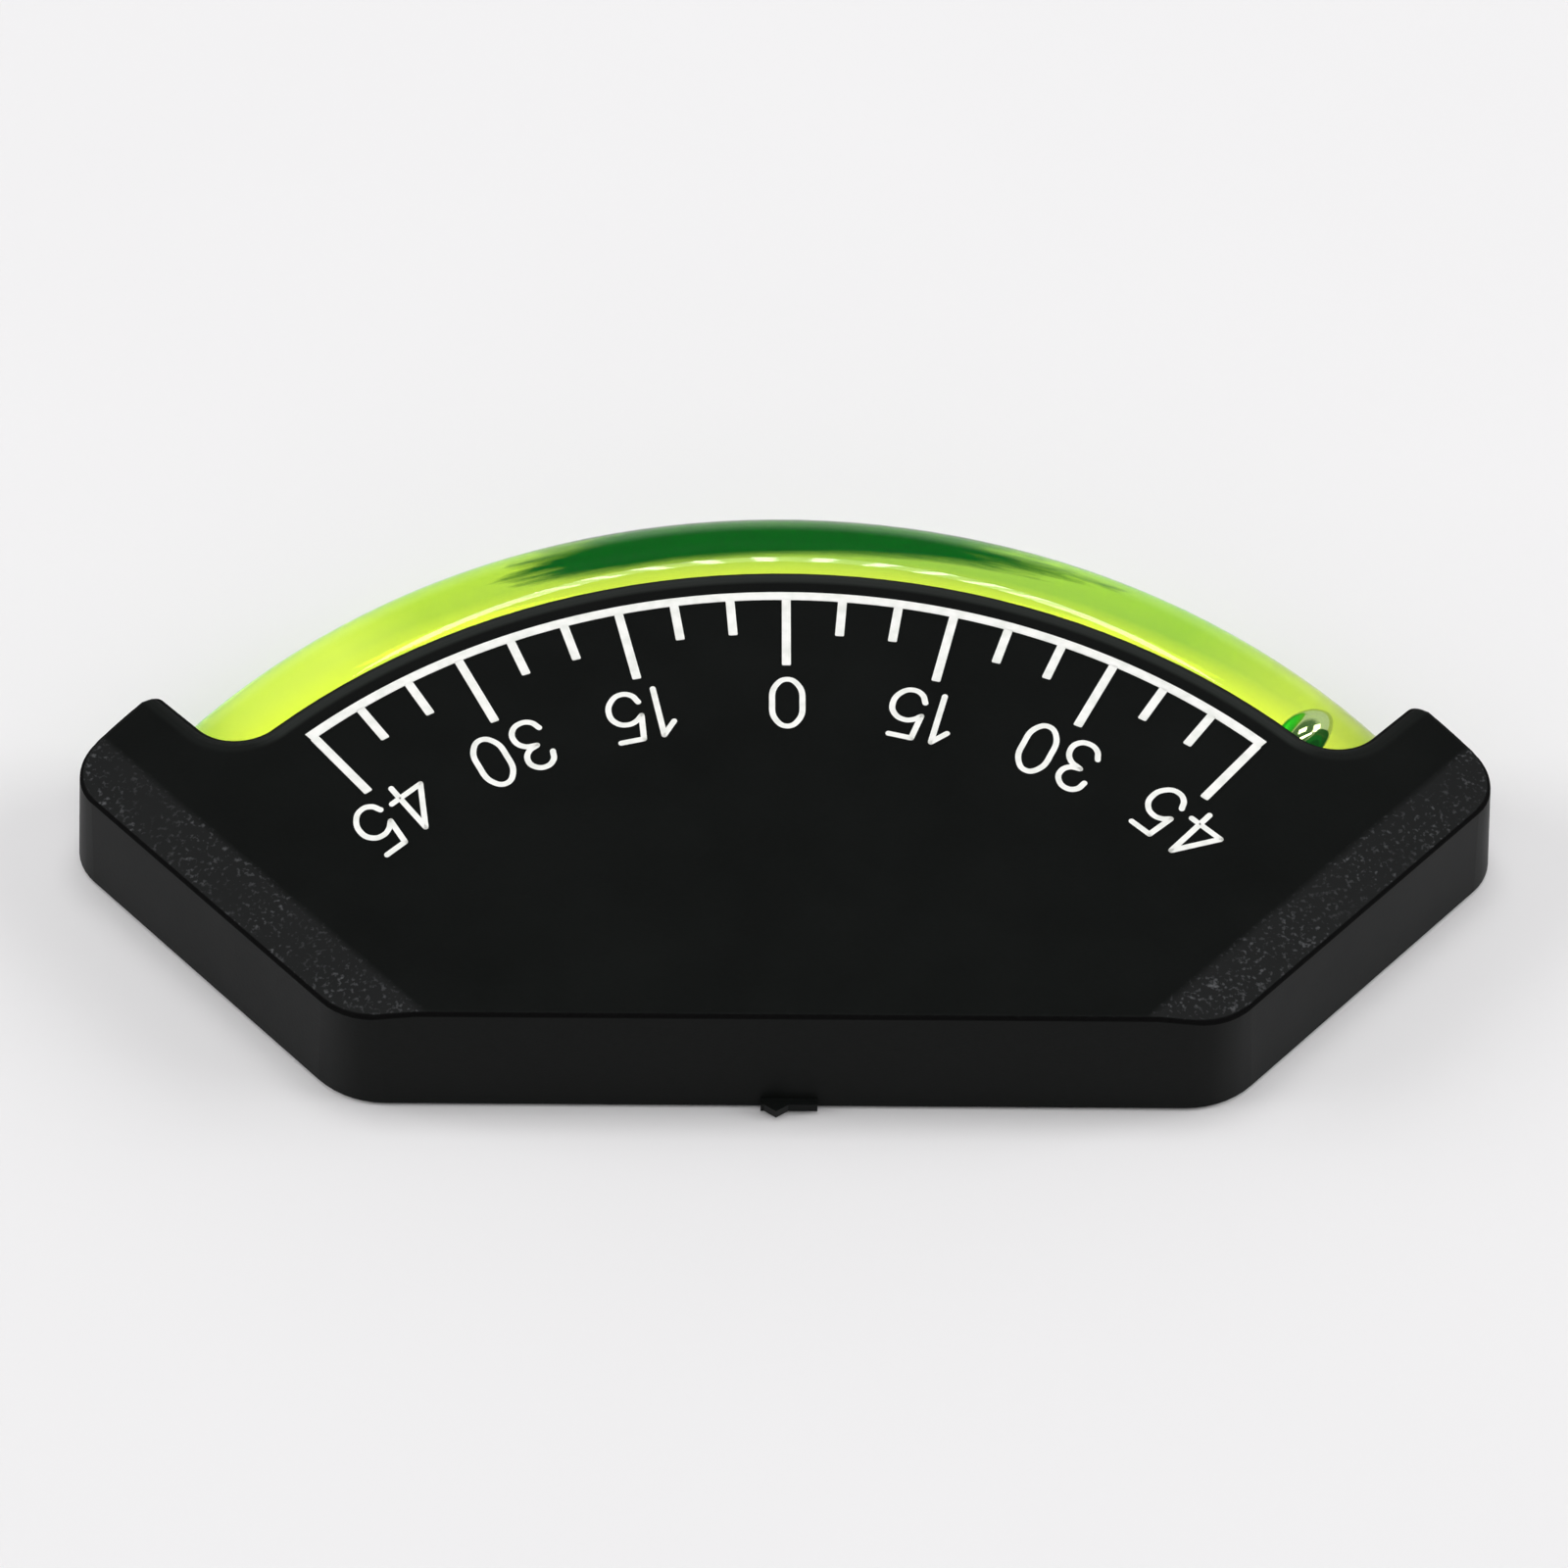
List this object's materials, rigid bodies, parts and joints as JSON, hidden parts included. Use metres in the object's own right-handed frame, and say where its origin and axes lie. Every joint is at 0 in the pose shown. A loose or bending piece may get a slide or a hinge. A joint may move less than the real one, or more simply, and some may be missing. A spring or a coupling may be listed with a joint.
{
  "type": "boat clinometer",
  "caption": "Stick-on angle gauge for a boat: a steel ball in a bent liquid-filled tube shows the heel against a printed degree scale.",
  "frame": {"origin": "centre of the adhesive pad, on the surface that it sticks to", "axes": "+Z out of the face, +X to the right end of the scale, +Y towards the curved tube"},
  "size_m": [0.1096, 0.0553, 0.0098],
  "materials": {
    "housing_plastic": "black moulded ABS with a fine grain",
    "cover_plastic": "black moulded ABS, satin",
    "clear_plastic": "clear plastic tube over yellow-green liquid",
    "plug_rubber": "black rubber stopper",
    "ball_steel": "polished bearing ball",
    "white_print": "white pad-printed ink",
    "pad_foam": "black closed-cell foam with adhesive on both sides",
    "liner_film": "red release film"
  },
  "bodies": {
    "body": {"housing": "housing_plastic", "back_cover": "cover_plastic", "tube": "clear_plastic", "end_plug_left": "plug_rubber", "end_plug_right": "plug_rubber", "scale_print": "white_print", "mounting_pad": "pad_foam", "release_liner": "liner_film"},
    "rolling_ball": {"ball": "ball_steel"}
  },
  "joints": [
    {"name": "ball_travel", "type": "hinge", "parent": "body", "child": "rolling_ball", "pos_m": [0, -0.02498, 0.00435], "axis": [0, 0, 1], "range_deg": [-5.5, 102.5]}
  ]
}
